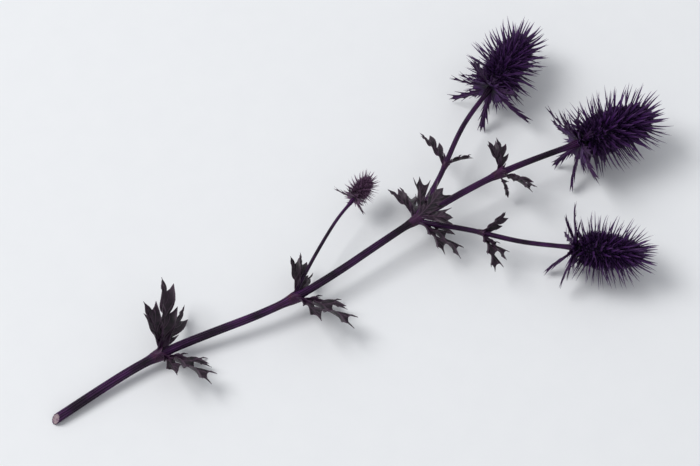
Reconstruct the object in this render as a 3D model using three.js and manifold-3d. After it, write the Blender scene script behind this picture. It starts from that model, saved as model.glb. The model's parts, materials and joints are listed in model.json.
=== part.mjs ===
// A cut stem of sea holly (an Eryngium), dyed dark violet, lying on a flat surface.
//
// Millimetres, +Z up. The surface is z = 0 and the stem runs along +X from its slanted cut end.
// It branches into two flowering side stalks and one young one. Each flower head is a cone
// covered in stiff spine-like bracts, over a ruff of longer toothed bracts. The ruff, the cone
// and every leaf are pieces of their own; the stem and its side stalks grew as one piece.

import * as THREE from "three";
import { mergeVertices } from "three/addons/utils/BufferGeometryUtils.js";
import Module from "manifold-3d";

const wasm = await Module();
wasm.setup();
const { Manifold, Mesh } = wasm;

// ---------------------------------------------------------------- driving dimensions

const ORIGIN = new THREE.Vector3(208.1, -1.9, 0.05); // middle of the plant's box, from the stem's foot
const GAP = 0.3; // between two separate pieces that touch on the plant
const SURFACE = 0.05; // the lowest that a spine or a leaf reaches
const LIFT_STEP = 1; // degrees; what would reach lower is turned up in such steps

// Where the side stalks leave the main one.
const MIDDLE = [158, -4, 13.2];
const FORK = [244, 3, 18.6];

// Way points of each stalk. Its first point is its root, its last the neck of its flower head.
const STALKS = {
  main: {
    points: [[0, 0, 2.8], [74, 5, 7.6], MIDDLE, FORK, [302, 4, 22], [354, -2, 23.6]],
    radius: [2.7, 1.7],
    sides: 12,
    steps: 34,
  },
  left: {
    points: [FORK, [271, 20, 20.6], [301, 43, 21.4], [329, 58, 21.6]],
    radius: [1.6, 1.4],
    sides: 8,
    steps: 12,
  },
  right: {
    points: [FORK, [268, -19, 20.4], [290, -41, 20.8], [315, -60, 20.4]],
    radius: [1.6, 1.3],
    sides: 8,
    steps: 12,
  },
  young: {
    points: [MIDDLE, [180, 11, 17.2], [203, 25, 19.6], [220, 33, 20]],
    radius: [1.1, 0.9],
    sides: 6,
    steps: 8,
  },
};
const RIDGE = 0.07; // height of the stem's ridges, as a share of its radius
const JOINT_SWELL = 0.32; // how much the main stem thickens where leaves and side stalks leave it
const JOINT_LENGTH = 5;
const JOINTS = { low: 0.209, middle: 0.447, fork: 0.69, upper: 0.853 }; // shares along it
const NECK_SWELL = 0.45; // how much a stalk widens under its head
const NECK_LENGTH = 5;
const CUT_SLANT = 40; // degrees off square
const CUT_AT = 3;

// Flower heads: the cone's length and radius, its spines, and the long and short bracts of its ruff.
const HEADS = {
  main: { cone: [42, 11.5], spines: 180, spine: 14.5, ruff: { long: 7, short: 13, length: 30 }, seed: 11 },
  left: { cone: [37, 10.2], spines: 156, spine: 13.5, ruff: { long: 6, short: 12, length: 27 }, seed: 23 },
  right: { cone: [34, 9.6], spines: 144, spine: 13, ruff: { long: 6, short: 12, length: 25 }, seed: 37 },
  young: { cone: [13, 4.6], spines: 46, spine: 5.5, ruff: { long: 5, short: 7, length: 12 }, seed: 41 },
};
const CONE_SEGMENTS = 14;
const CONE_RINGS = 9;
const CONE_SHAPE = 2.6; // exponent of the cone's rounded outline
const CONE_TAPER = 0.36; // how much narrower the top is than the bottom
const SPINE_RADIUS = 1;
const SPINE_FLATTEN = [1.1, 0.75]; // across and through the spine
const SPINE_SINK = 2;
const SPINE_START = 0.03; // first spine, as a share of the cone's length
const SPINE_VARIES = { lean: 10, size: 0.24 }; // at random: degrees, and a share of its length
// A spine's lean from the head's axis, in degrees, from the cone's foot to its top.
const SPINE_LEAN = [112, 95, 82, 71, 59, 44, 10];
const GOLDEN_ANGLE = Math.PI * (3 - Math.sqrt(5));

// The ruff's disc: its radius as a share of the cone's, and that of its underside as a share of it.
const COLLAR = { radius: 0.55, under: 0.75, height: 2.4 };
// The bracts leave the disc at a share of its radius. Lean is in degrees from the head's axis,
// turn is where the first of a ring stands as a share of their spacing, and size a share of the
// longest ones.
const BRACT_ROOT = 0.35;
const BRACTS = {
  long: { size: 1, lean: 118, turn: 0.25 },
  short: { size: 0.55, lean: 112, turn: 0.6 },
};
const BRACT_VARIES = { turn: 0.3, size: 0.3, lean: 26 };
const BRACT_BLADE = { slimness: 0.165, teeth: 2, arch: -0.35, widest: 0.6 };

// ---------------------------------------------------------------- materials

const dyed = (color, roughness) => new THREE.MeshStandardMaterial({ color, roughness, metalness: 0 });
const stemViolet = dyed(0x4a1f58, 0.45);
const coneViolet = dyed(0x33164a, 0.6);
const ruffViolet = dyed(0x281433, 0.6);
const leafBlack = dyed(0x1f1626, 0.55);
const youngPink = dyed(0x5c4152, 0.7);

// ---------------------------------------------------------------- solids and small helpers

const rad = THREE.MathUtils.degToRad;
const lerp = THREE.MathUtils.lerp;

/** A closed three.js geometry as a solid. */
function solid(geometry) {
  geometry.deleteAttribute("normal");
  geometry.deleteAttribute("uv");
  const merged = mergeVertices(geometry);
  const index = merged.index.array;
  const faces = [];
  for (let i = 0; i < index.length; i += 3) {
    const [a, b, c] = index.subarray(i, i + 3);
    if (a !== b && b !== c && c !== a) faces.push(a, b, c);
  }
  return new Manifold(
    new Mesh({
      numProp: 3,
      vertProperties: new Float32Array(merged.attributes.position.array),
      triVerts: new Uint32Array(faces),
    }),
  );
}

/** A solid as a named mesh. */
function part(name, body, material) {
  const made = body.getMesh();
  const geometry = new THREE.BufferGeometry();
  geometry.setAttribute("position", new THREE.BufferAttribute(made.vertProperties, 3));
  geometry.setIndex(new THREE.BufferAttribute(made.triVerts, 1));
  geometry.computeVertexNormals();
  const mesh = new THREE.Mesh(geometry, material);
  mesh.name = name;
  return mesh;
}

/** Gives numbers spread about a value, the same on every run. */
function seeded(seed) {
  const count = 2 ** 32;
  let state = seed;
  return (value, spread) => {
    state = (state * 1664525 + 1013904223) % count;
    return value + spread * (state / count - 0.5);
  };
}

/** Calls change(vertex) on every vertex of a geometry. */
function reshape(geometry, change) {
  const position = geometry.attributes.position;
  const vertex = new THREE.Vector3();
  for (let i = 0; i < position.count; i++) {
    change(vertex.fromBufferAttribute(position, i));
    position.setXYZ(i, vertex.x, vertex.y, vertex.z);
  }
  return geometry;
}

/** The value at share 0 to 1 along a list of evenly spaced values. */
function along(values, share) {
  const place = Math.min(share, 0.9999) * (values.length - 1);
  const before = Math.floor(place);
  return lerp(values[before], values[before + 1], place - before);
}

/** Two unit vectors square to a direction: the more upright one, and the one to its left. */
function squareTo(direction) {
  const up = new THREE.Vector3(0, 0, 1).addScaledVector(direction, -direction.z).normalize();
  return { up, left: new THREE.Vector3().crossVectors(up, direction) };
}

/** The direction that leans off a line by lean, at turn about it (0 is up, 90 is left). */
function leaning(line, turn, lean) {
  const { up, left } = squareTo(line);
  const out = up.multiplyScalar(Math.cos(turn)).addScaledVector(left, Math.sin(turn));
  return {
    out,
    direction: line.clone().multiplyScalar(Math.cos(lean)).addScaledVector(out, Math.sin(lean)),
  };
}

/** Places a piece made along +Y: its root at a point, +Y along a direction, +Z facing a side. */
function placed(geometry, root, direction, facing) {
  const y = direction.clone().normalize();
  const x = new THREE.Vector3().crossVectors(y, facing).normalize();
  const z = new THREE.Vector3().crossVectors(x, y);
  return geometry.applyMatrix4(new THREE.Matrix4().makeBasis(x, y, z).setPosition(root));
}

/** Places pieces as above and turns them up about their root until none is under the surface. */
function laid(pieces, root, direction, facing) {
  const heading = direction.clone();
  const level = new THREE.Vector3(heading.y, -heading.x, 0).normalize();
  for (;;) {
    const turned = pieces.map((piece) => placed(piece.clone(), root, heading, facing));
    if (Math.min(...turned.map(lowest)) >= SURFACE) return turned;
    heading.applyAxisAngle(level, rad(LIFT_STEP));
  }
}

function lowest(geometry) {
  geometry.computeBoundingBox();
  return geometry.boundingBox.min.z;
}

// ---------------------------------------------------------------- stem

const curveOf = ({ points }) =>
  new THREE.CatmullRomCurve3(points.map((p) => new THREE.Vector3(...p)), false, "catmullrom", 0.5);

/** A ridged stalk that tapers along its curve, thicker at its joints and under its head. */
function stalk(spec, joints, grow = 0) {
  const curve = curveOf(spec);
  const length = curve.getLength();
  const frames = curve.computeFrenetFrames(spec.steps);
  const start = squareTo(frames.tangents[0]);
  const geometry = new THREE.CylinderGeometry(1, 1, 1, spec.sides, spec.steps);
  reshape(geometry, (v) => {
    const station = Math.round((v.y + 0.5) * spec.steps);
    const share = station / spec.steps;
    const centre = curve.getPointAt(share);
    const { up, left } = station ? squareTo(frames.tangents[station]) : start;
    const turn = Math.atan2(-v.x, v.z);
    const joint = joints.reduce((sum, at) => sum + bump((share - at) * length, JOINT_LENGTH), 0);
    const neck = bump((1 - share) * length, NECK_LENGTH);
    const swollen = (1 + JOINT_SWELL * joint) * (1 + NECK_SWELL * neck);
    const ridged = 1 + RIDGE * Math.cos((turn * spec.sides) / 2);
    const radius = Math.hypot(v.x, v.z) * (lerp(...spec.radius, share) * swollen * ridged + grow);
    const off = up.clone().multiplyScalar(Math.cos(turn)).addScaledVector(left, Math.sin(turn));
    v.copy(centre).addScaledVector(off, radius);
  });
  return solid(geometry);
}

const bump = (distance, width) => Math.exp(-((distance / width) ** 2));

function wholeStem(grow) {
  const joints = Object.values(JOINTS);
  const stalks = Object.entries(STALKS).map(([name, spec]) =>
    stalk(spec, name === "main" ? joints : [], grow),
  );
  const slant = rad(CUT_SLANT);
  return Manifold.union(stalks).trimByPlane([Math.cos(slant), 0, -Math.sin(slant)], CUT_AT * Math.cos(slant));
}

// ---------------------------------------------------------------- blades

const BLADE = {
  thickness: 0.7,
  rib: 0.3, // how far the rib stands out below
  fold: 0.35, // rise of the edges, as a share of the half width
  foot: 0.36, // width of the foot, as a share of the greatest width
  fullness: 0.75, // exponent of the outline; under 1 the blade is fuller than a sine
  notch: 0.66, // width between two teeth, as a share of that at the teeth
  toothReach: 0.8, // how far a tooth points forwards, as a share of the way to the next notch
  tip: 0.16,
};

/** A blade's width at a share of its length, from its foot past its widest point to its tip. */
function outline(share, widest) {
  const swell = Math.max(0, Math.sin(Math.PI * share ** (Math.log(0.5) / Math.log(widest))));
  return lerp(BLADE.foot * (1 - share), 1, swell ** BLADE.fullness);
}

/**
 * A spiny toothed blade along +Y, its upper face to +Z. The teeth point forwards, the blade
 * folds up along its rib and arches back towards its tip.
 */
function blade({ length, width, teeth, arch, widest }) {
  const rows = 2 * teeth + 1;
  const swing = length / arch; // radius of the arch
  const position = [];
  const faces = [];
  const vertex = (row, side, face) => (row * 3 + side + 1) * 2 + face;
  const quad = (a, b, c, d) => faces.push(a, b, c, a, c, d);
  for (let row = 0; row <= rows; row++) {
    const share = row / rows;
    const tooth = row % 2 === 1 && row < rows;
    const half = Math.max(BLADE.tip, (width / 2) * outline(share, widest) * (tooth ? 1 : BLADE.notch));
    for (let side = -1; side <= 1; side++) {
      const reach = side && tooth ? BLADE.toothReach / rows : 0;
      const bend = arch * (share + reach);
      for (let face = 0; face <= 1; face++) {
        const rib = side === 0 && !face ? BLADE.rib * (1 - share) : 0;
        const lift = Math.abs(side) * half * BLADE.fold + (face - 0.5) * BLADE.thickness - rib;
        const y = (swing + lift) * Math.sin(bend);
        const z = (swing + lift) * Math.cos(bend) - swing;
        position.push(side * half, y, z);
      }
    }
  }
  for (let row = 0; row < rows; row++) {
    for (let side = -1; side < 1; side++) {
      const a = vertex(row, side, 1);
      const b = vertex(row, side + 1, 1);
      const c = vertex(row + 1, side + 1, 1);
      const d = vertex(row + 1, side, 1);
      faces.push(a, b, c, a, c, d); // above
      faces.push(a - 1, c - 1, b - 1, a - 1, d - 1, c - 1); // below, with the same diagonals
    }
    quad(vertex(row, -1, 0), vertex(row, -1, 1), vertex(row + 1, -1, 1), vertex(row + 1, -1, 0));
    quad(vertex(row, 1, 1), vertex(row, 1, 0), vertex(row + 1, 1, 0), vertex(row + 1, 1, 1));
  }
  for (let side = -1; side < 1; side++) {
    quad(vertex(0, side, 0), vertex(0, side + 1, 0), vertex(0, side + 1, 1), vertex(0, side, 1));
    quad(vertex(rows, side, 1), vertex(rows, side + 1, 1), vertex(rows, side + 1, 0), vertex(rows, side, 0));
  }
  const geometry = new THREE.BufferGeometry();
  geometry.setAttribute("position", new THREE.Float32BufferAttribute(position, 3));
  geometry.setIndex(faces);
  return geometry;
}

// ---------------------------------------------------------------- flower heads

/** The cone's radius at a share of its length. */
function coneRadius([, radius], share) {
  const off = Math.abs(2 * share - 1);
  return radius * (1 - off ** CONE_SHAPE) ** (1 / CONE_SHAPE) * (1 + CONE_TAPER * (0.5 - share));
}

/** A slim three-sided spine along +Y. */
function spine(size) {
  return new THREE.ConeGeometry(SPINE_RADIUS, size + SPINE_SINK, 3)
    .scale(SPINE_FLATTEN[0], 1, SPINE_FLATTEN[1])
    .translate(0, (size - SPINE_SINK) / 2, 0);
}

/** The cone with its spines, which stand in a spiral like seeds in a fir cone. */
function flowerCone(head, base, axis) {
  const [length] = head.cone;
  const profile = [];
  for (let ring = 0; ring <= CONE_RINGS; ring++) {
    const share = (1 - Math.cos((Math.PI * ring) / CONE_RINGS)) / 2;
    profile.push(new THREE.Vector2(coneRadius(head.cone, share), share * length));
  }
  profile[0].x = profile[CONE_RINGS].x = 0;
  const core = solid(
    placed(new THREE.LatheGeometry(profile, CONE_SEGMENTS), base, axis, squareTo(axis).up),
  );
  const about = seeded(head.seed);
  const spines = [];
  for (let i = 0; i < head.spines; i++) {
    const share = lerp(SPINE_START, 1, (i + 0.5) / head.spines);
    const turn = i * GOLDEN_ANGLE;
    const lean = rad(about(along(SPINE_LEAN, share), SPINE_VARIES.lean));
    const size = head.spine * about(1, SPINE_VARIES.size);
    const { out, direction } = leaning(axis, turn, lean);
    const root = base.clone().addScaledVector(axis, share * length);
    root.addScaledVector(out, coneRadius(head.cone, share));
    spines.push(...laid([spine(size)], root, direction, axis).map(solid));
  }
  return Manifold.union([core, ...spines]);
}

/** The ruff: long toothed bracts and short ones between them, on a disc under the cone. */
function ruff(head, neck, axis) {
  const { long, short, length } = head.ruff;
  const radius = COLLAR.radius * head.cone[1];
  const centre = neck.clone().addScaledVector(axis, GAP + COLLAR.height / 2);
  const disc = new THREE.CylinderGeometry(
    radius, COLLAR.under * radius, COLLAR.height, CONE_SEGMENTS,
  );
  const about = seeded(head.seed + 1);
  const bracts = [];
  const add = (count, ring, make) => {
    for (let i = 0; i < count; i++) {
      const turn = about((2 * Math.PI * (i + ring.turn)) / count, BRACT_VARIES.turn);
      const size = ring.size * length * about(1, BRACT_VARIES.size);
      const { out, direction } = leaning(axis, turn, rad(about(ring.lean, BRACT_VARIES.lean)));
      const root = centre.clone().addScaledVector(out, BRACT_ROOT * radius);
      bracts.push(...laid([make(size)], root, direction, axis).map(solid));
    }
  };
  add(long, BRACTS.long, (size) =>
    blade({ ...BRACT_BLADE, length: size, width: BRACT_BLADE.slimness * size }),
  );
  add(short, BRACTS.short, spine);
  return Manifold.union([solid(placed(disc, centre, axis, squareTo(axis).up)), ...bracts]);
}

// ---------------------------------------------------------------- leaves

// Each leaf: its stalk and share along it, its turn about the stalk and lean from it in degrees,
// its length, and its lobes.
const LEAVES = {
  leaf_low_left: { on: "main", at: JOINTS.low, turn: 62, lean: 44, length: 46, lobes: 3 },
  leaf_low_right: { on: "main", at: JOINTS.low, turn: -84, lean: 50, length: 40, lobes: 3 },
  leaf_middle_left: { on: "main", at: JOINTS.middle, turn: 150, lean: 60, length: 30, lobes: 3 },
  leaf_middle_right: { on: "main", at: JOINTS.middle, turn: -72, lean: 48, length: 42, lobes: 3 },
  leaf_fork_up: { on: "main", at: JOINTS.fork, turn: -8, lean: 44, length: 36, lobes: 3 },
  leaf_fork_left: { on: "main", at: JOINTS.fork, turn: 130, lean: 66, length: 34, lobes: 3 },
  leaf_fork_right: { on: "main", at: JOINTS.fork, turn: -134, lean: 64, length: 36, lobes: 3 },
  leaf_upper_left: { on: "main", at: JOINTS.upper, turn: 75, lean: 50, length: 24, lobes: 2 },
  leaf_upper_right: { on: "main", at: JOINTS.upper, turn: -60, lean: 56, length: 27, lobes: 3 },
  leaf_upper_under: { on: "main", at: JOINTS.upper, turn: -150, lean: 70, length: 18, lobes: 1 },
  leaf_left_outer: { on: "left", at: 0.4, turn: 80, lean: 42, length: 27, lobes: 1 },
  leaf_left_inner: { on: "left", at: 0.4, turn: -60, lean: 46, length: 18, lobes: 1 },
  leaf_right_outer: { on: "right", at: 0.42, turn: -85, lean: 46, length: 26, lobes: 2 },
  leaf_right_inner: { on: "right", at: 0.42, turn: 50, lean: 40, length: 19, lobes: 1 },
};
const FACE_UP = 55; // degrees that a leaf at the stem's side has rolled over to face the light
const LOBE_SPREAD = 40; // degrees between the lobes
const LOBE_FOOT = 5; // from the leaf's foot to where its side lobes part
const LOBE_WIDTH = { share: 0.23, least: 2.8 }; // a share of the lobe's length, on top of the least
const LOBE_WIDEST = 0.5;
const MIDDLE_LOBE = { size: 1, teeth: 3, arch: 0.6 };
const SIDE_LOBE = { size: 0.7, teeth: 2, arch: 0.42 };

/** A leaf cut into spiny lobes, which meet near its foot. */
function lobesOf({ length, lobes, turn }) {
  return Array.from({ length: lobes }, (_, i) => {
    const off = i - Math.floor(lobes / 2);
    const lobe = off ? SIDE_LOBE : MIDDLE_LOBE;
    const size = length * lobe.size;
    const width = LOBE_WIDTH.share * size + LOBE_WIDTH.least;
    return blade({ ...lobe, length: size, width, widest: LOBE_WIDEST })
      .rotateZ(-rad(LOBE_SPREAD) * off)
      .translate(0, off ? LOBE_FOOT : 0, 0)
      .rotateY(-rad(FACE_UP) * Math.sin(rad(turn)));
  });
}

function leaf(spec, grownStem) {
  const curve = curveOf(STALKS[spec.on]);
  const line = curve.getTangentAt(spec.at);
  const { direction } = leaning(line, rad(spec.turn), rad(spec.lean));
  const lobes = laid(lobesOf(spec), curve.getPointAt(spec.at), direction, line);
  return Manifold.union(lobes.map(solid)).subtract(grownStem);
}

// ---------------------------------------------------------------- assembly

const plant = new THREE.Group();
const stem = wholeStem(0);
const grownStem = wholeStem(GAP);
plant.add(part("stem", stem, stemViolet));

for (const [name, head] of Object.entries(HEADS)) {
  const curve = curveOf(STALKS[name]);
  const neck = curve.getPointAt(1);
  const axis = curve.getTangentAt(1);
  const base = neck.clone().addScaledVector(axis, COLLAR.height + 2 * GAP);
  const young = name === "young";
  const cone = flowerCone(head, base, axis);
  const collar = ruff(head, neck, axis).subtract(grownStem);
  plant.add(part(`head_${name}_cone`, cone, young ? youngPink : coneViolet));
  plant.add(part(`head_${name}_ruff`, collar, young ? youngPink : ruffViolet));
}

for (const [name, spec] of Object.entries(LEAVES)) {
  plant.add(part(name, leaf(spec, grownStem), leafBlack));
}

plant.position.copy(ORIGIN).negate();

export default plant;
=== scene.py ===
"""A cut stem of sea holly, dyed dark violet, lying on a pale surface.

Three spiny cones and a young one sit on ruffs of toothed bracts, at the ends of ridged stalks,
with lobed spiny leaves round the joints. The layout below is in millimetres from the stem's foot,
along the frame's own axes. Models are made once at the origin, along +Y with their upper side to
+Z, and their copies are bent, sized and set in place.
"""

import json
import math
import random

import bmesh
import bpy
import numpy as np
from mathutils import Matrix, Vector, noise

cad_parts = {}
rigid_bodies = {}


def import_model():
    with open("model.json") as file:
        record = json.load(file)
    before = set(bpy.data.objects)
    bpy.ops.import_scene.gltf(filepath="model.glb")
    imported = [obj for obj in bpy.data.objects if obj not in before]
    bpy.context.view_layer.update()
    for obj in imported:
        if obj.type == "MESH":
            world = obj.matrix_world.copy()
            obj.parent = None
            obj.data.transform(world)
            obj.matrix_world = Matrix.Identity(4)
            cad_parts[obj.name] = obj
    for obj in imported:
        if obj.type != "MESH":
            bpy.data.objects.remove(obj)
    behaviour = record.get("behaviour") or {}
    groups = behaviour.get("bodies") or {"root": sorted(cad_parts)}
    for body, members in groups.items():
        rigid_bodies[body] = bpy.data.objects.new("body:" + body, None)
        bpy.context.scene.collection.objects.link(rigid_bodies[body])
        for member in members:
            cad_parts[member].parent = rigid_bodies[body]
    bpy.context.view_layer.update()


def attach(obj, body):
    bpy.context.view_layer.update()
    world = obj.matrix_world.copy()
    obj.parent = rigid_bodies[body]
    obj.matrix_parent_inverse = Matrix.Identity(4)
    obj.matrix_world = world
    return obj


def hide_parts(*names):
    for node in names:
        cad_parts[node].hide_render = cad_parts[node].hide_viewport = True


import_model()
noise.seed_set(5)  # otherwise each run's noise starts from the clock

# ------------------------------------------------------------------ layout, in millimetres

MM = 0.001
SURFACE = 0.05  # height of what the stem lies on
ORIGIN = np.array((208.1, -1.9, SURFACE))  # the frame's, in the layout
LIFT_STEP = math.radians(1)  # what would reach under the surface is turned up in such steps

MIDDLE = (158, -4, 13.2)  # where the young stalk leaves the main one
FORK = (244, 3, 18.6)  # where the two side stalks leave it
# Each stalk's way points, its radius at its root and at its neck, and its ridges all round.
STALKS = {
    "main": {
        "points": [(0, 0, 2.8), (74, 5, 7.6), MIDDLE, FORK, (302, 4, 22), (354, -2, 23.6)],
        "radius": (2.7, 1.7),
        "ridges": 13,
    },
    "left": {
        "points": [FORK, (271, 20, 20.6), (301, 43, 21.4), (329, 58, 21.6)],
        "radius": (1.6, 1.4),
        "ridges": 9,
    },
    "right": {
        "points": [FORK, (268, -19, 20.4), (290, -41, 20.8), (315, -60, 20.4)],
        "radius": (1.6, 1.3),
        "ridges": 9,
    },
    "young": {
        "points": [MIDDLE, (180, 11, 17.2), (203, 25, 19.6), (220, 33, 20)],
        "radius": (1.1, 0.9),
        "ridges": 7,
    },
}
RIDGE_SIDES = 6  # faces round each ridge
RING_STEP = 2  # between two rings of a stalk
RIDGE_HEIGHT, RIDGE_FULLNESS, GROOVE = 0.11, 0.7, 0.94  # height and groove as shares of the radius
RIDGE_SWAY, SWAY_RATE = 0.6, 9  # the ridges wander a little round the stalk
WARP, WARP_LENGTH = 0.012, 5  # the stalk's own unevenness
BARK_GRAIN, BARK_ROUND = 18, 3  # the bark's streaks: their length, and how close they lie

JOINTS = {"low": 0.209, "middle": 0.447, "fork": 0.69, "upper": 0.853}  # shares of the main stem
JOINT_SWELL, JOINT_LENGTH = 0.32, 5
NECK_SWELL, NECK_LENGTH = 0.45, 5
SCAR_HEIGHT, SCAR_LENGTH, SCAR_BELOW = 0.05, 1.6, 1  # the ring that the leaves leave at a joint
CUT_SLANT, CUT_AT = math.radians(40), 3
CUT_RINGS = ((0.88, 0), (0.9, 0.12), (0.7, 0.05), (0.5, 0.3))  # size and depth, each from the last

# A cone has a length and a radius halfway up it. Its spines and its ruff's long bracts have their
# usual length. The whorls are the numbers of long bracts, shorter bracts and short spines.
HEADS = {
    "main": {
        "cone": (42, 11.5), "florets": 380, "spines": 230, "spine": 14.5,
        "whorls": (7, 8, 42), "bract": 30, "seed": 11,
    },
    "left": {
        "cone": (37, 10.2), "florets": 340, "spines": 205, "spine": 13.5,
        "whorls": (6, 7, 36), "bract": 27, "seed": 23,
    },
    "right": {
        "cone": (34, 9.6), "florets": 310, "spines": 190, "spine": 13,
        "whorls": (6, 7, 36), "bract": 25, "seed": 37,
    },
    "young": {
        "cone": (13, 4.6), "florets": 150, "spines": 120, "spine": 5.5,
        "whorls": (5, 6, 30), "bract": 12, "seed": 41,
    },
}
CONE_SHAPE, CONE_TAPER = 2.6, 0.36
CORE = 0.78  # the body under the florets, as a share of the cone
CORE_POLE = 0.02  # keeps the division by the distance from the axis finite at its poles
GAP = 0.3  # between a stalk's neck, its ruff and its cone
GOLDEN_ANGLE = math.pi * (3 - math.sqrt(5))
FIRST_SPINE = 0.01  # as a share of the cone's length

SPINE_LEAN = (124, 99, 84, 74, 64, 52, 14)  # in degrees, evenly from the cone's foot to its top
SPINE_SWAY = 6  # in degrees, to either side
SPINE_LENGTHS, SPINE_WIDTHS = (0.80, 1.12), (0.8, 1.2)  # from the least to the most
SPINE_WIDTH = 0.062  # half of it, as a share of the usual length
CURVE_AT_FOOT, CURVE_SWAY = 0.05, 0.25  # in radians, the sway to either side
CURVE_GROWTH, CURVE_EASE = 0.5, 0.6  # spines curve more towards the cone's top, but ever less so
CLUMPING, CLUMP_SIZE = 0.38, 5.0  # neighbouring spines lean together
TOOTHED_BELOW, TOOTHED_SHARE = 0.35, 0.6  # this share of the low spines has side teeth

FLORET = np.array((0.32, 0.43, 0.32))  # for a cone of 1 mm radius
FLORET_GROWTH = 0.75  # thicker cones have larger florets, but not in full measure
FLORET_SIZES = (0.8, 1.3)
FLORET_TURN, FLORET_DEPTH = 0.16, 0.3  # turned on from the spines, and sunk into the body
FLORET_LEAN = 90  # in degrees, at most

COLLAR_RADIUS, COLLAR_HEIGHT = 0.55, 2.4  # the radius as a share of the cone's
COLLAR = (  # height and radius of its rings, as shares
    (-0.5, 0.6), (-0.46, 0.7), (-0.3, 0.79), (0, 0.88),
    (0.3, 0.96), (0.5, 1), (0.75, 0.99), (0.85, 0.9),
)
# A whorl starts at a share of the step between two bracts. Its length is a share of the long
# bracts', its width a share of its length with a least width added. It leans out from the cone's
# axis by degrees, and arches back towards the cone by radians.
WHORLS = (
    {
        "model": "bract", "start": 0.25, "length": 1, "lean": 118,
        "width": 0.15, "least": 0.4, "arch": 0.35,
    },
    {
        "model": "bract", "start": 0.7, "length": 0.68, "lean": 104,
        "width": 0.15, "least": 0.4, "arch": 0.35,
    },
    {
        "model": "toothed spine", "start": 0.6, "length": 0.55, "lean": 112,
        "width": 0.05, "least": 0.25, "arch": 0.3,
    },
)
BRACT_ROOT = 0.35  # as a share of the collar's radius
BRACT_TURN, BRACT_SWAY = 0.15, 13  # in radians and in degrees, to either side
BRACT_LENGTHS, BRACT_WIDTHS = (0.85, 1.15), (0.9, 1.1)

# Each leaf's stalk, its place along it, its turn about it and its lean from it in degrees, its
# length and the number of its lobes.
LEAVES = {
    "leaf_low_left": ("main", JOINTS["low"], 62, 44, 46, 3),
    "leaf_low_right": ("main", JOINTS["low"], -84, 50, 40, 3),
    "leaf_middle_left": ("main", JOINTS["middle"], 150, 60, 30, 3),
    "leaf_middle_right": ("main", JOINTS["middle"], -72, 48, 42, 3),
    "leaf_fork_up": ("main", JOINTS["fork"], -8, 44, 36, 3),
    "leaf_fork_left": ("main", JOINTS["fork"], 130, 66, 34, 3),
    "leaf_fork_right": ("main", JOINTS["fork"], -134, 64, 36, 3),
    "leaf_upper_left": ("main", JOINTS["upper"], 75, 50, 24, 2),
    "leaf_upper_right": ("main", JOINTS["upper"], -60, 56, 27, 3),
    "leaf_upper_under": ("main", JOINTS["upper"], -150, 70, 18, 1),
    "leaf_left_outer": ("left", 0.4, 80, 42, 27, 1),
    "leaf_left_inner": ("left", 0.4, -60, 46, 18, 1),
    "leaf_right_outer": ("right", 0.42, -85, 46, 26, 2),
    "leaf_right_inner": ("right", 0.42, 50, 40, 19, 1),
}
FACE_UP = 55  # degrees that a leaf at the stalk's side rolls its upper face upwards
LOBE_SPREAD, LOBE_FOOT = 40, 5  # degrees between two lobes, and where the side lobes start
LOBE_WIDTH, LOBE_LEAST = 0.23, 2.8  # as a share of its length, with a least width added
MIDDLE_LOBE = {"size": 1, "arch": 0.6}  # size against the leaf's length, arch in radians
SIDE_LOBE = {"size": 0.7, "arch": 0.42}
SHEATH_WRAP, SHEATH_LENGTH = 78, 2.9  # degrees to each side, and times the stalk's radius
SHEATH_BELOW = 0.45  # the share of it that is under the leaf's foot
SHEATH_THICKNESS = 0.3
SHEATH_CLEAR, SHEATH_LIFT = 1.02, 0.2  # its reach from the stalk's line, in radii and then in mm
SHEATH_FLARE = 0.45  # how far it stands open at the blade, in radii


# ------------------------------------------------------------------ the stalks' lines

class Line:
    """A stalk's centre line, read by its share from root (0) to neck (1)."""

    STEPS = 80  # between two way points

    def __init__(self, points):
        knots = [Vector(p) for p in points]
        knots = [2 * knots[0] - knots[1], *knots, 2 * knots[-1] - knots[-2]]
        line = [
            self.between(*knots[i : i + 4], step / self.STEPS)
            for i in range(len(knots) - 3)
            for step in range(self.STEPS)
        ]
        self.line = np.array([*line, knots[-2]])
        lengths = np.linalg.norm(np.diff(self.line, axis=0), axis=1)
        self.length = lengths.sum()
        self.shares = np.concatenate(((0,), lengths.cumsum() / self.length))

    @staticmethod
    def between(before, start, end, after, t):
        """A point of a smooth curve through start and end."""
        leave, arrive = (end - before) / 2, (after - start) / 2
        return (
            start
            + leave * t
            + (3 * (end - start) - 2 * leave - arrive) * t**2
            + (2 * (start - end) + leave + arrive) * t**3
        )

    def at(self, share):
        """The line's points at an array of shares."""
        return np.stack([np.interp(share, self.shares, axis) for axis in self.line.T], axis=-1)

    def heading(self, share):
        """Unit vectors along the line."""
        step = 0.002
        ahead = self.at(np.minimum(share + step, 1)) - self.at(np.maximum(share - step, 0))
        return ahead / np.linalg.norm(ahead, axis=-1, keepdims=True)


LINES = {name: Line(stalk["points"]) for name, stalk in STALKS.items()}


def square_to(heading):
    """Unit vectors square to headings: the more upright one, and the one to its left."""
    up = np.array((0, 0, 1)) - heading * heading[..., 2:]
    up = up / np.linalg.norm(up, axis=-1, keepdims=True)
    return up, np.cross(up, heading)


def leaning(line, turn, lean):
    """The way out from a line at a turn about it, and the direction that leans that way."""
    up, left = square_to(line)
    out = up * math.cos(turn) + left * math.sin(turn)
    return out, line * math.cos(lean) + out * math.sin(lean)


def above_neck(name, height):
    """The point at a height over a stalk's neck, and the stalk's heading there."""
    neck = np.array(1.0)
    heading = LINES[name].heading(neck)
    return LINES[name].at(neck) + heading * height, heading


def swelling(distance, length):
    """1 at a distance of 0, and smoothly less over a length to either side."""
    return np.exp(-((distance / length) ** 2))


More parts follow.
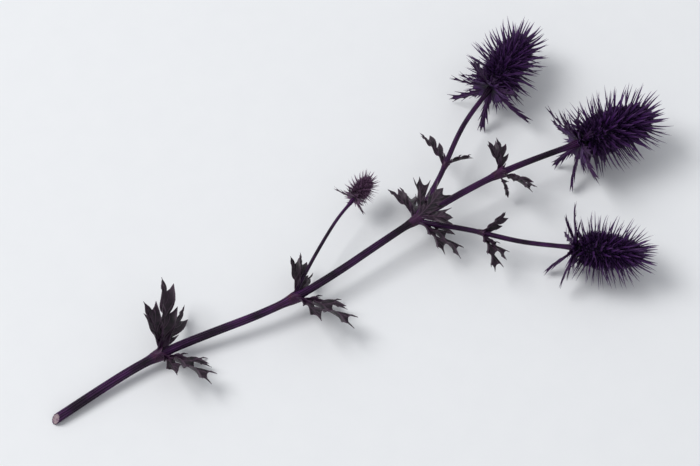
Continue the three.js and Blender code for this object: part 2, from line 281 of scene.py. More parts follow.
def joint_swelling(name, share, length, below=0):
    """The swelling at shares of a stalk's line, over a length at a distance below its joints."""
    line = LINES[name]
    joints = JOINTS.values() if name == "main" else ()
    return sum((swelling((share - at) * line.length + below, length) for at in joints), 0 * share)


def stalk_radius(name, share):
    """A stalk's radius at shares of its line, with its thicker joints and neck."""
    joint = joint_swelling(name, share, JOINT_LENGTH)
    neck = swelling((1 - share) * LINES[name].length, NECK_LENGTH)
    radius = np.interp(share, (0, 1), STALKS[name]["radius"])
    return radius * (1 + JOINT_SWELL * joint) * (1 + NECK_SWELL * neck)


def around(name, share, turn, radius):
    """Points round a stalk's line, at shares of it and turns about it."""
    up, left = square_to(LINES[name].heading(share))
    out = up * np.cos(turn)[:, None] + left * np.sin(turn)[:, None]
    return LINES[name].at(share) + out * radius[:, None]


# ------------------------------------------------------------------ modelling helpers

def choose(piece):
    """Selects one piece alone and makes it the active one."""
    bpy.ops.object.select_all(action="DESELECT")
    piece.select_set(True)
    bpy.context.view_layer.objects.active = piece


def start(add, name, **settings):
    """Adds a primitive with everything else deselected, and leaves it in edit mode."""
    bpy.ops.object.select_all(action="DESELECT")
    add(**settings)
    made = bpy.context.object
    made.name = made.data.name = name
    bpy.ops.object.transform_apply(location=True, rotation=True, scale=True)
    bpy.ops.object.mode_set(mode="EDIT")
    return made


def pick(test):
    """Selects the vertices in edit mode whose places pass a test."""
    mesh = bmesh.from_edit_mesh(bpy.context.object.data)
    for part in (*mesh.verts, *mesh.edges, *mesh.faces):
        part.select = False
    for vertex in mesh.verts:
        vertex.select = bool(test(vertex.co))
    mesh.select_flush(True)
    bmesh.update_edit_mesh(bpy.context.object.data)


def extrude(move):
    bpy.ops.mesh.extrude_region_move(TRANSFORM_OT_translate={"value": move})


def resize(size, centre):
    bpy.ops.transform.resize(value=size, center_override=centre)


def leave_edit():
    """Turns all faces outwards and leaves edit mode."""
    bpy.ops.mesh.select_all(action="SELECT")
    bpy.ops.mesh.normals_make_consistent(inside=False)
    bpy.ops.object.mode_set(mode="OBJECT")


def thicken(piece, thickness):
    """Gives a sheet its thickness, half of it to each side."""
    choose(piece)
    modifier = piece.modifiers.new("Thickness", "SOLIDIFY")
    modifier.thickness = thickness
    modifier.offset = 0
    bpy.ops.object.modifier_apply(modifier=modifier.name)


def points_of(piece):
    points = np.empty(len(piece.data.vertices) * 3)
    piece.data.vertices.foreach_get("co", points)
    return points.reshape(-1, 3)


def move_to(piece, points):
    piece.data.vertices.foreach_set("co", np.ascontiguousarray(points).ravel())
    piece.data.update()


def put_in_frame(piece, points):
    """Moves a piece's vertices to points of the layout, in the frame's metres."""
    move_to(piece, (points - ORIGIN) * MM)


def write_attribute(piece, name, values):
    """Stores a number, or three, on each vertex."""
    values = np.asarray(values, dtype=np.float32)
    kind, key = ("FLOAT", "value") if values.ndim == 1 else ("FLOAT_VECTOR", "vector")
    layer = piece.data.attributes.new(name, kind, "POINT")
    layer.data.foreach_set(key, values.ravel())


def join(name, pieces):
    """Joins pieces into one."""
    choose(pieces[0])
    for piece in pieces:
        piece.select_set(True)
    bpy.ops.object.join()
    pieces[0].name = pieces[0].data.name = name
    return pieces[0]


def copy_of(model, points, tone=0.5):
    """A copy of a model with a mesh of its own, at points of the layout and with a tone of dye."""
    piece = model.copy()
    piece.data = model.data.copy()
    bpy.context.scene.collection.objects.link(piece)
    put_in_frame(piece, points)
    write_attribute(piece, "tone", np.full(len(points), tone))
    return piece


def bent(points, angle, length):
    """Bends points that run along +Y over a length, so that the far end turns towards +Z."""
    if abs(angle) < 1e-3:
        return points
    swing = length / angle
    turn = points[:, 1] / swing
    reach = swing - points[:, 2]
    return np.stack((points[:, 0], reach * np.sin(turn), swing - reach * np.cos(turn)), axis=1)


def turned(points, degrees, axis):
    turn = np.array(Matrix.Rotation(math.radians(degrees), 3, axis))
    return points @ turn.T


def stood(points, foot, axis):
    """Sets points on a foot, with +Y along an axis and +Z as upright as it can be."""
    up, _ = square_to(axis)
    return points @ np.array((np.cross(axis, up), axis, up)) + foot


def laid(points, root, heading, facing):
    """Sets points along a heading with +Z to a side, turned up until none is under the surface."""
    heading = Vector(heading)
    level = Vector((heading.y, -heading.x, 0)).normalized()
    lift = Matrix.Rotation(LIFT_STEP, 3, level)
    while True:
        across = heading.cross(Vector(facing)).normalized()
        placed = points @ np.array((across, heading, across.cross(heading))) + root
        if placed[:, 2].min() >= SURFACE:
            return placed
        heading = lift @ heading


# ------------------------------------------------------------------ materials

class Socket:
    """A shader socket that can stand in a sum, with numbers and with other sockets."""

    def __init__(self, paint, socket):
        self.paint = paint
        self.socket = socket

    def math(self, operation, *values):
        return self.paint.node("ShaderNodeMath", {"operation": operation}, dict(enumerate(values)))

    def __add__(self, other):
        return self.math("ADD", self, other)

    def __mul__(self, other):
        return self.math("MULTIPLY", self, other)

    def __sub__(self, other):
        return self.math("SUBTRACT", self, other)

    def __rsub__(self, other):
        return self.math("SUBTRACT", other, self)

    __radd__ = __add__
    __rmul__ = __mul__

    def sine(self):
        return self.math("SINE", self)

    def size(self):
        return self.math("ABSOLUTE", self)

    def or_more(self, other):
        """The larger of two values."""
        return self.math("MAXIMUM", self, other)

    def ramp(self, low, high):
        """0 where the value is under low, 1 where it is over high, and smooth between."""
        return self.paint.node(
            "ShaderNodeMapRange",
            {"interpolation_type": "SMOOTHSTEP"},
            {"Value": self, "From Min": low, "From Max": high},
        )

    def part(self, name):
        """One of a vector's X, Y and Z."""
        return self.paint.node("ShaderNodeSeparateXYZ", {}, {"Vector": self}, name)


class Paint:
    """A material, whose nodes are added by expressions."""

    def __init__(self, name, **constants):
        self.material = bpy.data.materials.new(name)
        self.material.use_nodes = True
        self.tree = self.material.node_tree
        self.shader = self.tree.nodes["Principled BSDF"]
        for key, value in constants.items():
            self.shader.inputs[key.replace("_", " ")].default_value = value

    def node(self, kind, settings, inputs, output=0):
        """Adds a node, sets and links its inputs, and gives one of its outputs."""
        made = self.tree.nodes.new(kind)
        for key, value in settings.items():
            setattr(made, key, value)
        for key, value in inputs.items():
            if isinstance(value, Socket):
                self.tree.links.new(value.socket, made.inputs[key])
            else:
                made.inputs[key].default_value = value
        return Socket(self, made.outputs[output])

    def attribute(self, name, output="Fac"):
        return self.node("ShaderNodeAttribute", {"attribute_name": name}, {}, output)

    def place(self):
        """Object coordinates, in metres."""
        return self.node("ShaderNodeTexCoord", {}, {}, "Object")

    def stretched(self, where, scale):
        return self.node("ShaderNodeMapping", {}, {"Vector": where, "Scale": scale})

    def noise(self, where, scale, detail):
        return self.node(
            "ShaderNodeTexNoise", {}, {"Vector": where, "Scale": scale, "Detail": detail}
        )

    def cells(self, scale):
        return self.node("ShaderNodeTexVoronoi", {}, {"Vector": self.place(), "Scale": scale})

    def mix(self, factor, low, high):
        """A colour between two colours, each a socket or three numbers."""
        low, high = (c if isinstance(c, Socket) else (*c, 1) for c in (low, high))
        return self.node(
            "ShaderNodeMix", {"data_type": "RGBA"}, {0: factor, 6: low, 7: high}, 2
        )

    def bump(self, height, distance, strength=1.0):
        return self.node(
            "ShaderNodeBump", {}, {"Height": height, "Distance": distance, "Strength": strength}
        )

    def finish(self, **links):
        for key, value in links.items():
            self.tree.links.new(value.socket, self.shader.inputs[key.replace("_", " ")])
        return self.material


def stem_finish():
    """Waxy purple bark, streaked and fibrous along its length, with painted shade in the grooves and
    a painted highlight on the ridges.
    """
    paint = Paint("stem bark", Coat_Weight=0.06, Coat_Roughness=0.15, Specular_IOR_Level=0.17)
    grain = paint.attribute("grain", "Vector")
    ridge = paint.attribute("ridge")
    streaks = paint.noise(grain, 1.0, 4)
    patches = paint.noise(paint.place(), 45, 3)
    fibres = paint.noise(paint.stretched(grain, (0.8, 6, 6)), 1.0, 4)
    # Painted shade in the grooves and a painted highlight on the ridges, mixed with the bark's own
    # streaks and patches.
    light = (ridge.ramp(0.1, 1.0) * 0.5 + streaks.ramp(0.4, 0.7) * 0.5) * patches.ramp(0.36, 0.64)
    colour = paint.mix(light, (0.004, 0.0015, 0.006), (0.105, 0.018, 0.140))
    colour = paint.mix(fibres.ramp(0.5, 0.68) * 0.5, colour, (0.010, 0.003, 0.013))
    colour = paint.mix((1 - fibres.ramp(0.34, 0.46)) * 0.3, colour, (0.150, 0.045, 0.170))
    colour = paint.mix(patches.ramp(0.58, 0.8) * 0.6, colour, (0.026, 0.012, 0.012))
    colour = paint.mix(paint.attribute("scar") * 0.7, colour, (0.075, 0.020, 0.030))
    return paint.finish(
        Base_Color=colour, Roughness=0.28 + fibres * 0.2, Normal=paint.bump(fibres, 0.0002, 0.8)
    )


def pith_finish():
    """The pale dyed pith and darker rim of the cut end."""
    paint = Paint("cut pith", Specular_IOR_Level=0.3)
    cells = paint.cells(2600)
    shade = paint.noise(paint.place(), 500, 3)
    colour = paint.mix(cells.ramp(0.1, 0.7), (0.20, 0.12, 0.17), (0.42, 0.33, 0.34))
    colour = paint.mix(shade.ramp(0.4, 0.7) * 0.6, colour, (0.15, 0.07, 0.14))
    return paint.finish(
        Base_Color=colour, Roughness=0.7 + shade * 0.2, Normal=paint.bump(cells, 0.0002)
    )


def spine_finish(name, root, middle, tip, dye_and_glint):
    """A dry dyed spine: dark at its root, from its dye and from painted shade deep among the spines,
    and paler towards its tip, from its dye and a painted highlight, with a painted highlight along
    its edges.

    Spines of higher tone carry more of a brighter violet, both a random tone of dye and a painted
    glint, and each has its own fine fibres.
    """
    paint = Paint(name, Specular_IOR_Level=0.3)
    along = paint.attribute("along")
    tone = paint.attribute("tone")
    edge = paint.attribute("edge")
    fleck = paint.noise(paint.place(), 900, 2)
    grain = paint.node("ShaderNodeCombineXYZ", {}, {0: edge * 3.5, 1: along * 5, 2: tone * 60})
    fibres = paint.noise(grain, 1.6, 3)
    # Darker towards the root: painted shade deep among the spines, as well as the dye.
    colour = paint.mix(along.ramp(0.0, 0.45), root, middle)
    # A brighter violet on spines of higher tone: a random tone of dye and a painted glint.
    colour = paint.mix(tone * 0.6 * along.ramp(0.1, 0.6), colour, dye_and_glint)
    # A painted highlight along the spine's edges.
    colour = paint.mix(edge.size().ramp(0.6, 1.0) * 0.35 * along.ramp(0.1, 0.5), colour, tip)
    # Paler towards the tip: partly the dye, partly a painted highlight.
    colour = paint.mix(along.ramp(0.5, 1.0), colour, tip)
    colour = paint.mix(fleck.ramp(0.5, 0.8) * 0.35, colour, root)
    colour = paint.mix(fibres.ramp(0.52, 0.7) * 0.5, colour, root)
    colour = paint.mix((1 - fibres.ramp(0.32, 0.46)) * 0.3 * along.ramp(0.05, 0.4), colour, tip)
    return paint.finish(
        Base_Color=colour, Roughness=0.36 + fibres * 0.3, Normal=paint.bump(fibres, 0.00008, 0.7)
    )


def leaf_finish(name, wax, dark, light, vein, foot):
    """A leathery blade under a film of wax, veined to its teeth, with a paler horny margin."""
    paint = Paint(name, Specular_IOR_Level=0.1 + 1.2 * wax, Coat_Weight=wax, Coat_Roughness=0.25)
    blade = paint.attribute("blade", "Vector")
    across, along = blade.part("X"), blade.part("Y")
    side = across.size()
    grain = paint.noise(paint.place(), 260, 4)
    cells = paint.cells(1500)
    midrib = 1 - side.ramp(0.03, 0.16)
    forks = ((along * 42 - side * 7.5).sine() * 0.5 + 0.5).ramp(0.86, 1.0)
    veins = midrib.or_more(forks * (1 - side.ramp(0.7, 1.0)))
    colour = paint.mix(grain.ramp(0.3, 0.7), dark, light)
    colour = paint.mix(veins * 0.7, colour, vein)
    colour = paint.mix(side.ramp(0.86, 1.0) * 0.6, colour, vein)
    colour = paint.mix((1 - along.ramp(0.02, 0.3)) * 0.7, colour, foot)
    height = veins + cells * 0.25
    return paint.finish(
        Base_Color=colour, Roughness=0.4 + grain * 0.2, Normal=paint.bump(height, 0.00025, 0.8)
    )


def floor_finish():
    paint = Paint("pale surface", Specular_IOR_Level=0.2)
    grain = paint.noise(paint.place(), 60, 4)
    colour = paint.mix(grain, (0.86, 0.87, 0.885), (0.89, 0.90, 0.91))
    return paint.finish(Base_Color=colour, Roughness=0.75 + grain * 0.1)


# ------------------------------------------------------------------ models

BLADE_COLUMNS = 5  # on each side of the rib
BLADE_ROWS = 10  # to a tooth, an even number so that one row runs out to its tip
BLADE_FOOT, BLADE_FULLNESS = 0.36, 0.75  # the width at its foot, and how soon it widens
BLADE_NOTCH, BLADE_TIP = 0.66, 0.012  # the width between two teeth, and half the tip's
BLADE_REACH, BLADE_FOLD = 0.8, 0.35  # how far its teeth point forwards, how steep its halves are
BLADE_QUILT, BLADE_GROOVE = 0.05, 0.10  # as shares of its half width
BLADE_THICKNESS = 0.02

# Places along a spine and its half widths there. It starts lower, inside what carries it.
SPINE_STATIONS = ((0.0, 1.0), (0.12, 0.98), (0.30, 0.87), (0.55, 0.65), (0.80, 0.35), (1.0, 0.015))
SPINE_FOOT = -0.12
SPINE_FLATNESS, SPINE_CHANNEL = 0.6, 0.55
SIDE_TEETH = (0.21, 0.425)  # places along a spine, with a tooth to each side
TOOTH_OUT, TOOTH_FORWARD, TOOTH_RISE = 1.1, 0.08, 0.15
TOOTH_TIP, TIP_OUT, TIP_FORWARD = 0.12, 1.9, 0.13  # its size, and where it is drawn in to
SEPALS = 5


def blade_outline(share, widest):
    """A blade's width at shares of its length, full at its widest place and narrow at its foot."""
    swell = np.clip(np.sin(math.pi * share ** (math.log(0.5) / math.log(widest))), 0, 1)
    foot = BLADE_FOOT * (1 - share)
    return foot + (1 - foot) * swell**BLADE_FULLNESS


def blade_model(name, teeth, widest, material, ripple, spiny):
    """A blade of unit length and greatest width, with its teeth pointing forwards."""
    periods = teeth + 0.5
    blade = start(
        bpy.ops.mesh.primitive_grid_add, name,
        x_subdivisions=2 * BLADE_COLUMNS,
        y_subdivisions=int(BLADE_ROWS * periods),
        size=1, location=(0, 0.5, 0),
    )
    bpy.ops.object.mode_set(mode="OBJECT")
    points = points_of(blade)
    across, along = 2 * points[:, 0], np.clip(points[:, 1], 0, 1)
    side = np.abs(across)
    count = along * periods
    rise = np.where(count < teeth, 1 - np.abs(2 * (count % 1) - 1), 0) ** 1.7
    half = 0.5 * blade_outline(along, widest) * (BLADE_NOTCH + (1 - BLADE_NOTCH) * rise)
    # Past its last teeth the blade narrows to a spiny tip.
    last = teeth / periods
    taper = np.clip((1 - along) / (1 - last), 0, 1) ** 1.35
    shoulder = 0.5 * blade_outline(np.float64(last), widest) * BLADE_NOTCH
    half = np.maximum(BLADE_TIP, np.where(along < last, half, shoulder * taper))
    # Each tooth is drawn out forwards and sideways into a spine.
    margin = side**3
    spine = rise**3 * margin
    x = across * half * (1 + spiny * spine)
    y = along + (BLADE_REACH * rise * margin + 2 * spiny * spine) / (2 * periods)
    # Its halves are folded up, with waved margins, quilted between the veins and grooved at the rib.
    phase = math.tau * (count - 0.2 * side)
    wave = ripple * margin * np.sin(phase + np.sign(across))
    quilt = BLADE_QUILT * np.sin(2 * phase) * side * (1 - side**4)
    groove = BLADE_GROOVE * np.clip(1 - 5 * side, 0, 1)
    z = half * (BLADE_FOLD * side + wave + quilt - groove)
    move_to(blade, np.stack((x, y, z), axis=1))
    write_attribute(blade, "blade", np.stack((across, along, 0 * along), axis=1))
    blade.data.materials.append(material)
    thicken(blade, BLADE_THICKNESS)
    return blade


def draw_out(stations, at, width):
    """Draws the selected ring out along +Y, to each station's place and half width."""
    for y, wide in stations:
        extrude((0, y - at, 0))
        resize((wide / width, 1, wide / width), (0, y, 0))
        at, width = y, wide


def spine_model(name, material, teeth):
    """A channelled spine of unit length and unit half width, with pairs of small side teeth."""
    spine = start(
        bpy.ops.mesh.primitive_circle_add, name,
        vertices=6, radius=1, fill_type="NGON",
        location=(0, SPINE_FOOT, 0), rotation=(math.pi / 2, 0, 0),
    )
    resize((1, 1, SPINE_FLATNESS), (0, SPINE_FOOT, 0))
    pick(lambda co: co.z > 0.5)
    bpy.ops.transform.translate(value=(0, 0, -SPINE_CHANNEL))
    bpy.ops.mesh.select_all(action="SELECT")
    draw_out(SPINE_STATIONS, SPINE_FOOT, 1)
    for y in teeth:
        for side in (-1, 1):
            pick(lambda co: side * co.x > 0.25 and abs(co.y - y) < 0.13)
            extrude((side * TOOTH_OUT, TOOTH_FORWARD, TOOTH_RISE))
            tip = (side * TIP_OUT, y + TIP_FORWARD, TOOTH_RISE)
            resize((TOOTH_TIP, TOOTH_TIP, TOOTH_TIP), tip)
    leave_edit()
    points = points_of(spine)
    half = np.interp(points[:, 1], *np.transpose(SPINE_STATIONS))
    write_attribute(spine, "along", np.clip(points[:, 1], 0, 1))
    write_attribute(spine, "edge", np.clip(points[:, 0] / half, -1, 1))
    spine.data.materials.append(material)
    return spine


def sheath_model(material):
    """A sheet of unit size, which is wrapped round a stalk at a leaf's foot."""
    sheath = start(
        bpy.ops.mesh.primitive_grid_add, "sheath model",
        x_subdivisions=16, y_subdivisions=8, size=1, location=(0, 0.5, 0),
    )
    leave_edit()
    thicken(sheath, SHEATH_THICKNESS)
    # Its veins run up it, so it is read as the side of a blade.
    across = 2 * points_of(sheath)[:, 0]
    write_attribute(sheath, "blade", np.stack((across, np.abs(across), 0 * across), axis=1))
    sheath.data.materials.append(material)
    return sheath


def floret_model(material):
    """A floret: a cup with spiny sepals that stand out of its rim."""
    floret = start(
        bpy.ops.mesh.primitive_circle_add, "floret model",
        vertices=2 * SEPALS, radius=0.35, fill_type="NGON", rotation=(math.pi / 2, 0, 0),
    )
    height = 0
    for rise, size in ((0.35, 1.5), (0.2, 0.9), (-0.25, 0.45)):  # its side, its rim, its inside
        height += rise
        extrude((0, rise, 0))
        resize((size, 1, size), (0, height, 0))
    turns = [math.tau * (i / SEPALS + 0.25) for i in range(SEPALS)]

    def at_sepal(co):
        return co.y > 0.5 and max(co.x * math.cos(t) + co.z * math.sin(t) for t in turns) > 0.45

    pick(at_sepal)
    tip = 1.6
    bpy.ops.transform.translate(value=(0, 1.05, 0))
    resize((2.1, 1, 2.1), (0, tip, 0))
    leave_edit()
    write_attribute(floret, "along", np.clip(points_of(floret)[:, 1] / tip, 0, 1))
    floret.data.materials.append(material)
    return floret


# ------------------------------------------------------------------ pieces

def show(piece, slot, node, smooth=40):
    """Shades a finished piece, sets it on the root body and hides the node that it stands for."""
    choose(piece)
    bpy.ops.object.shade_smooth_by_angle(angle=math.radians(smooth))
    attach(piece, "root")
    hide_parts(node)


def stalk_rod(name, material):
    """A ridged rod, set along the stalk's line and thicker at its joints and neck."""
    length, ridges = LINES[name].length, STALKS[name]["ridges"]
    steps = round(length / RING_STEP)
    rod = start(
        bpy.ops.mesh.primitive_circle_add, f"{name} stalk",
        vertices=RIDGE_SIDES * ridges, radius=1, fill_type="NGON",
    )
    for _ in range(steps):
        extrude((0, 0, 1 / steps))
    leave_edit()
    points = points_of(rod)
    share = np.clip(points[:, 2], 0, 1)
    turn = np.arctan2(points[:, 0], points[:, 1])
    scar = joint_swelling(name, share, SCAR_LENGTH, SCAR_BELOW)
    wave = np.cos(turn * ridges + RIDGE_SWAY * np.sin(share * SWAY_RATE))
    ridge = 0.5 + 0.5 * np.sign(wave) * np.abs(wave) ** RIDGE_FULLNESS
    warp = WARP * np.sin(share * length / WARP_LENGTH + 3 * turn)
    relief = (GROOVE + RIDGE_HEIGHT * ridge + warp) * (1 + SCAR_HEIGHT * scar)
    put_in_frame(rod, around(name, share, turn, stalk_radius(name, share) * relief))
    write_attribute(rod, "ridge", ridge)
    write_attribute(rod, "scar", scar)
    grain = (share * length / BARK_GRAIN, np.cos(turn) * BARK_ROUND, np.sin(turn) * BARK_ROUND)
    write_attribute(rod, "grain", np.stack(grain, axis=1))
    rod.data.materials.append(material)
    return rod


def make_stem(bark, pith):
    """The stem and its side stalks, with its foot cut at a slant and the pith sunk a little."""
    rods = [stalk_rod(name, bark) for name in STALKS]
    main = rods[0]
    inwards = Vector((math.cos(CUT_SLANT), 0, -math.sin(CUT_SLANT)))
    cut = Vector((CUT_AT, 0, 0)) - Vector(ORIGIN)
    choose(main)
    bpy.ops.object.mode_set(mode="EDIT")
    bpy.ops.mesh.select_all(action="SELECT")
    bpy.ops.mesh.bisect(plane_co=cut * MM, plane_no=inwards, use_fill=True, clear_inner=True)
    main.data.materials.append(pith)
    main.active_material_index = 1
    middle = np.mean([v.co for v in bmesh.from_edit_mesh(main.data).verts if v.select], axis=0)
    for size, depth in CUT_RINGS:
        extrude(inwards * depth * MM)
        resize((size, size, size), middle)
    for _ in CUT_RINGS[1:]:  # all but the bark's rim is pith
        bpy.ops.mesh.select_more()
    bpy.ops.object.material_slot_assign()
    bpy.ops.object.mode_set(mode="OBJECT")
    show(join("stem_bark", rods), "stem", "stem", 35)


def cone_radius(cone, share):
    """A cone's radius at shares of its length: blunt at its ends, and thicker below."""
    off = np.abs(2 * share - 1)
    return cone[1] * (1 - off**CONE_SHAPE) ** (1 / CONE_SHAPE) * (1 + CONE_TAPER * (0.5 - share))


def cone_core(cone, foot, axis, material):
    """The body of a cone, which the florets cover."""
    core = start(
        bpy.ops.mesh.primitive_uv_sphere_add, "core",
        segments=24, ring_count=18, radius=1, rotation=(-math.pi / 2, 0, 0),
    )
    leave_edit()
    x, y, z = points_of(core).T
    share = (y + 1) / 2
    size = CORE * cone_radius(cone, share) / np.maximum(CORE_POLE, np.hypot(x, z))
    points = np.stack((x * size, share * cone[0], z * size), axis=1)
    put_in_frame(core, stood(points, foot, axis))
    core.data.materials.append(material)
    return core


def spiral(count):
    """Shares of a cone's length and turns about its axis, spread evenly all over it."""
    for i in range(count):
        yield FIRST_SPINE + (1 - FIRST_SPINE) * (i + 0.5) / count, i * GOLDEN_ANGLE


def lean_at(share):
    """How far a spine leans out from its cone's axis, in degrees."""
    return np.interp(share, np.linspace(0, 1, len(SPINE_LEAN)), SPINE_LEAN)


def curve_at(share):
    """How far a spine curves up towards its cone's axis, in radians."""
    return CURVE_AT_FOOT + CURVE_GROWTH * share * (1 - CURVE_EASE * share)


def make_cone(name, head, kit):
    """A cone's body, with spines and florets all over it, in a spiral each."""
    cone = head["cone"]
    foot, axis = above_neck(name, COLLAR_HEIGHT + 2 * GAP)
    draw = random.Random(head["seed"])
    pieces = [cone_core(cone, foot, axis, kit["body"])]
    for share, turn in spiral(head["spines"]):
        lean = lean_at(share) + draw.uniform(-SPINE_SWAY, SPINE_SWAY)
        out, heading = leaning(axis, turn, math.radians(lean))
        radius = cone_radius(cone, share)
        root = foot + axis * share * cone[0] + out * CORE * radius
        heading = heading + CLUMPING * np.array(noise.noise_vector(root / CLUMP_SIZE))
        heading = heading / np.linalg.norm(heading)
        length = head["spine"] * draw.uniform(*SPINE_LENGTHS) + (1 - CORE) * radius
        width = SPINE_WIDTH * head["spine"] * draw.uniform(*SPINE_WIDTHS)
        toothed = share < TOOTHED_BELOW and draw.random() < TOOTHED_SHARE
        model = kit["toothed spine" if toothed else "spine"]
        curve = curve_at(share) + draw.uniform(-CURVE_SWAY, CURVE_SWAY)
        shaft = bent(points_of(model) * (width, length, width), curve, length)
        shaft = turned(shaft, -math.degrees(curve) / 2, "X")
        pieces.append(copy_of(model, laid(shaft, root, heading, axis), draw.random()))
    model = kit["floret"]
    for share, turn in spiral(head["florets"]):
        lean = min(lean_at(share), FLORET_LEAN)
        out, heading = leaning(axis, turn + FLORET_TURN, math.radians(lean))
        radius = CORE * cone_radius(cone, share) - FLORET_DEPTH
        root = foot + axis * share * cone[0] + out * radius
        size = cone[1] ** FLORET_GROWTH * draw.uniform(*FLORET_SIZES)
        bud = points_of(model) * FLORET * size
        pieces.append(copy_of(model, laid(bud, root, heading, axis), draw.random()))
    show(join(f"{name}_cone", pieces), kit["cone slot"], f"head_{name}_cone")


def ruff_collar(radius, centre, axis, material):
    """The low disc under a cone, which carries its ruff."""
    collar = start(
        bpy.ops.mesh.primitive_circle_add, "collar",
        vertices=32, radius=COLLAR[0][1], fill_type="NGON",
        location=(0, COLLAR[0][0], 0), rotation=(math.pi / 2, 0, 0),
    )
    draw_out(COLLAR[1:], *COLLAR[0])
    leave_edit()
    points = points_of(collar) * (radius, COLLAR_HEIGHT, radius)
    put_in_frame(collar, stood(points, centre, axis))
    collar.data.materials.append(material)
    return collar


def make_ruff(name, head, kit):
    """Long and shorter toothed bracts, and short spines, round a collar under the cone."""
    radius = COLLAR_RADIUS * head["cone"][1]
    centre, axis = above_neck(name, GAP + COLLAR_HEIGHT / 2)
    draw = random.Random(head["seed"] + 1)
    pieces = [ruff_collar(radius, centre, axis, kit["body"])]
    for count, whorl in zip(head["whorls"], WHORLS):
        model = kit[whorl["model"]]
        for i in range(count):
            turn = math.tau * (i + whorl["start"]) / count + draw.uniform(-BRACT_TURN, BRACT_TURN)
            length = whorl["length"] * head["bract"] * draw.uniform(*BRACT_LENGTHS)
            lean = whorl["lean"] + draw.uniform(-BRACT_SWAY, BRACT_SWAY)
            out, heading = leaning(axis, turn, math.radians(lean))
            breadth = draw.uniform(*BRACT_WIDTHS) if whorl["model"] == "bract" else 1
            width = whorl["width"] * length * breadth + whorl["least"]
            shape = bent(points_of(model) * (width, length, width), whorl["arch"], length)
            placed = laid(shape, centre + out * BRACT_ROOT * radius, heading, axis)
            pieces.append(copy_of(model, placed, draw.random()))
    show(join(f"{name}_ruff", pieces), kit["ruff slot"], f"head_{name}_ruff")


def wrapped(sheet, stalk, at, turn):
    """A sheath's points round a stalk: narrower at both ends, and open towards the blade."""
    radius = STALKS[stalk]["radius"][0]
    across, along, depth = sheet.T
    along = np.clip(along, 0, 1)
    share = at + (along - SHEATH_BELOW) * SHEATH_LENGTH * radius / LINES[stalk].length
    spread = math.radians(SHEATH_WRAP) * np.sin(math.pi * (0.05 + 0.8 * along)) ** 0.8
    lift = SHEATH_LIFT * np.sin(0.5 * math.pi * along) + SHEATH_FLARE * radius * along**3
    reach = stalk_radius(stalk, share) * SHEATH_CLEAR + depth + lift
    return around(stalk, share, turn - 2 * across * spread, reach)


def make_leaf(name, leaf, models):
    """A leaf's spiny lobes, which meet at its foot in a sheath round the stalk."""
    stalk, at, turn, lean, length, count = leaf
    turn = math.radians(turn)
    foot, along = LINES[stalk].at(np.array(at)), LINES[stalk].heading(np.array(at))
    _, heading = leaning(along, turn, math.radians(lean))
    lobes = []
    for off in range(-(count // 2), count - count // 2):
        model = models["side lobe" if off else "lobe"]
        lobe = SIDE_LOBE if off else MIDDLE_LOBE
        size = length * lobe["size"]
        width = LOBE_WIDTH * size + LOBE_LEAST
        shape = bent(points_of(model) * (width, size, width), -lobe["arch"], size)
        shape = turned(shape, -LOBE_SPREAD * off, "Z") + (0, LOBE_FOOT if off else 0, 0)
        lobes.append((model, turned(shape, -FACE_UP * math.sin(turn), "Y")))
    placed = laid(np.concatenate([shape for _, shape in lobes]), foot, heading, along)
    cuts = np.cumsum([len(shape) for _, shape in lobes])[:-1]
    pieces = [copy_of(model, points) for (model, _), points in zip(lobes, np.split(placed, cuts))]
    sheath = models["sheath"]
    pieces.append(copy_of(sheath, wrapped(points_of(sheath), stalk, at, turn)))
    show(join(f"{name}_blade", pieces), "leaf", name)


# ------------------------------------------------------------------ set

def make_camera():
    """Looks down on the stem, which runs from the lower left to the upper right."""
    azimuth, elevation = math.radians(-30), math.radians(60)
    aim = Vector((0.001, 0.020, 0.012))
    distance = 1.6
    back = Vector((
        math.sin(azimuth) * math.cos(elevation),
        -math.cos(azimuth) * math.cos(elevation),
        math.sin(elevation),
    ))
    lens = bpy.data.cameras.new("camera")
    lens.sensor_width = 36
    lens.lens = 140
    camera = bpy.data.objects.new("camera", lens)
    camera.location = aim + back * distance
    camera.rotation_euler = back.to_track_quat("Z", "Y").to_euler()
    bpy.context.scene.collection.objects.link(camera)
    bpy.context.scene.camera = camera


def make_light():
    """A large soft round light at the upper left, turned to the stem's middle."""
    lamp = bpy.data.lights.new("key", "AREA")
    lamp.shape = "DISK"
    lamp.size = 2.4
    lamp.energy = 112
    light = bpy.data.objects.new("key", lamp)
    light.location = (-1.9, 1.9, 3.4)
    light.rotation_euler = light.location.to_track_quat("Z", "Y").to_euler()
    bpy.context.scene.collection.objects.link(light)


def make_studio():
    """The pale floor, and a pale even light from all round."""
    bpy.ops.object.select_all(action="DESELECT")
    bpy.ops.mesh.primitive_plane_add(size=6)
    floor = bpy.context.object
    floor.name = "floor"
    floor.data.materials.append(floor_finish())
    world = bpy.data.worlds.new("studio")
    world.use_nodes = True
    background = world.node_tree.nodes["Background"]
    background.inputs["Color"].default_value = (0.94, 0.96, 1.0, 1)
    background.inputs["Strength"].default_value = 0.52
    bpy.context.scene.world = world
    bpy.context.scene.view_settings.view_transform = "Standard"


# ------------------------------------------------------------------ assembly

make_camera()
make_light()
make_studio()
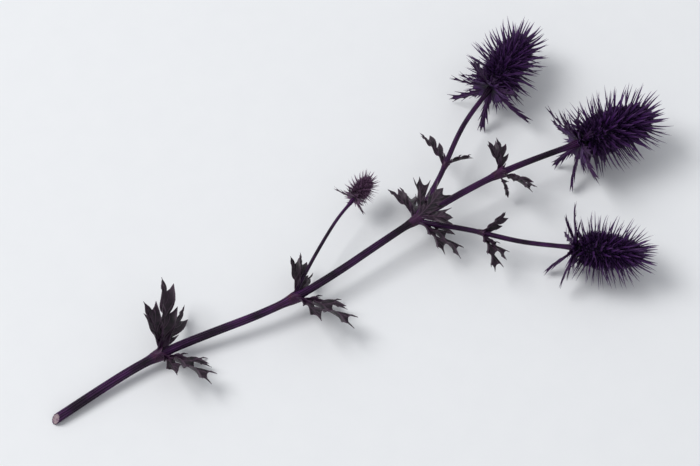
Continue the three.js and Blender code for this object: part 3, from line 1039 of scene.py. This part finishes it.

# Spine finishes: roots darker as painted shade, tips paler partly as painted highlight, and a
# brighter violet on some spines as dye and painted glint.
night = spine_finish(
    "violet spine",
    root=(0.009, 0.003, 0.016),
    middle=(0.029, 0.006, 0.053),
    tip=(0.110, 0.046, 0.155),
    dye_and_glint=(0.072, 0.013, 0.140),
)
dusk = spine_finish(
    "young spine",
    root=(0.029, 0.010, 0.028),
    middle=(0.082, 0.034, 0.080),
    tip=(0.25, 0.15, 0.24),
    dye_and_glint=(0.17, 0.075, 0.165),
)
heart = spine_finish(
    "cone heart",
    root=(0.006, 0.001, 0.013),
    middle=(0.018, 0.004, 0.038),
    tip=(0.120, 0.045, 0.180),
    dye_and_glint=(0.05, 0.012, 0.10),
)
leather = leaf_finish(
    "leaf leather",
    wax=0.14,
    dark=(0.003, 0.0015, 0.004),
    light=(0.037, 0.019, 0.035),
    vein=(0.088, 0.048, 0.082),
    foot=(0.045, 0.012, 0.050),
)
sheath_leather = leaf_finish(
    "sheath leather",
    wax=0.08,
    dark=(0.022, 0.006, 0.020),
    light=(0.060, 0.014, 0.062),
    vein=(0.085, 0.030, 0.080),
    foot=(0.055, 0.014, 0.055),
)
bract_leather = leaf_finish(
    "bract leather",
    wax=0.03,
    dark=(0.012, 0.003, 0.020),
    light=(0.036, 0.009, 0.056),
    vein=(0.090, 0.036, 0.115),
    foot=(0.040, 0.010, 0.060),
)
young_leather = leaf_finish(
    "young leather",
    wax=0.08,
    dark=(0.030, 0.014, 0.030),
    light=(0.058, 0.030, 0.056),
    vein=(0.12, 0.07, 0.115),
    foot=(0.08, 0.034, 0.075),
)

# What a head is made with: the material of its body, the models, and the slots of its pieces.
violet = {
    "body": heart,
    "spine": spine_model("spine model", night, ()),
    "toothed spine": spine_model("toothed spine model", night, SIDE_TEETH),
    "floret": floret_model(heart),
    "bract": blade_model("bract model", 4, 0.55, bract_leather, 0.25, 0.6),
    "cone slot": "cone",
    "ruff slot": "ruff",
}
young = {
    "body": dusk,
    "spine": spine_model("young spine model", dusk, ()),
    "toothed spine": spine_model("young toothed spine model", dusk, SIDE_TEETH),
    "floret": floret_model(dusk),
    "bract": blade_model("young bract model", 3, 0.55, young_leather, 0.25, 0.6),
    "cone slot": "young",
    "ruff slot": "young",
}
leaf_parts = {
    "lobe": blade_model("lobe model", 3, 0.5, leather, 0.5, 0.3),
    "side lobe": blade_model("side lobe model", 2, 0.5, leather, 0.5, 0.3),
    "sheath": sheath_model(sheath_leather),
}

make_stem(stem_finish(), pith_finish())
for name, head in HEADS.items():
    kit = young if name == "young" else violet
    make_cone(name, head, kit)
    make_ruff(name, head, kit)
for name, leaf in LEAVES.items():
    make_leaf(name, leaf, leaf_parts)

for model in (*violet.values(), *young.values(), *leaf_parts.values()):
    if isinstance(model, bpy.types.Object):
        bpy.data.objects.remove(model)
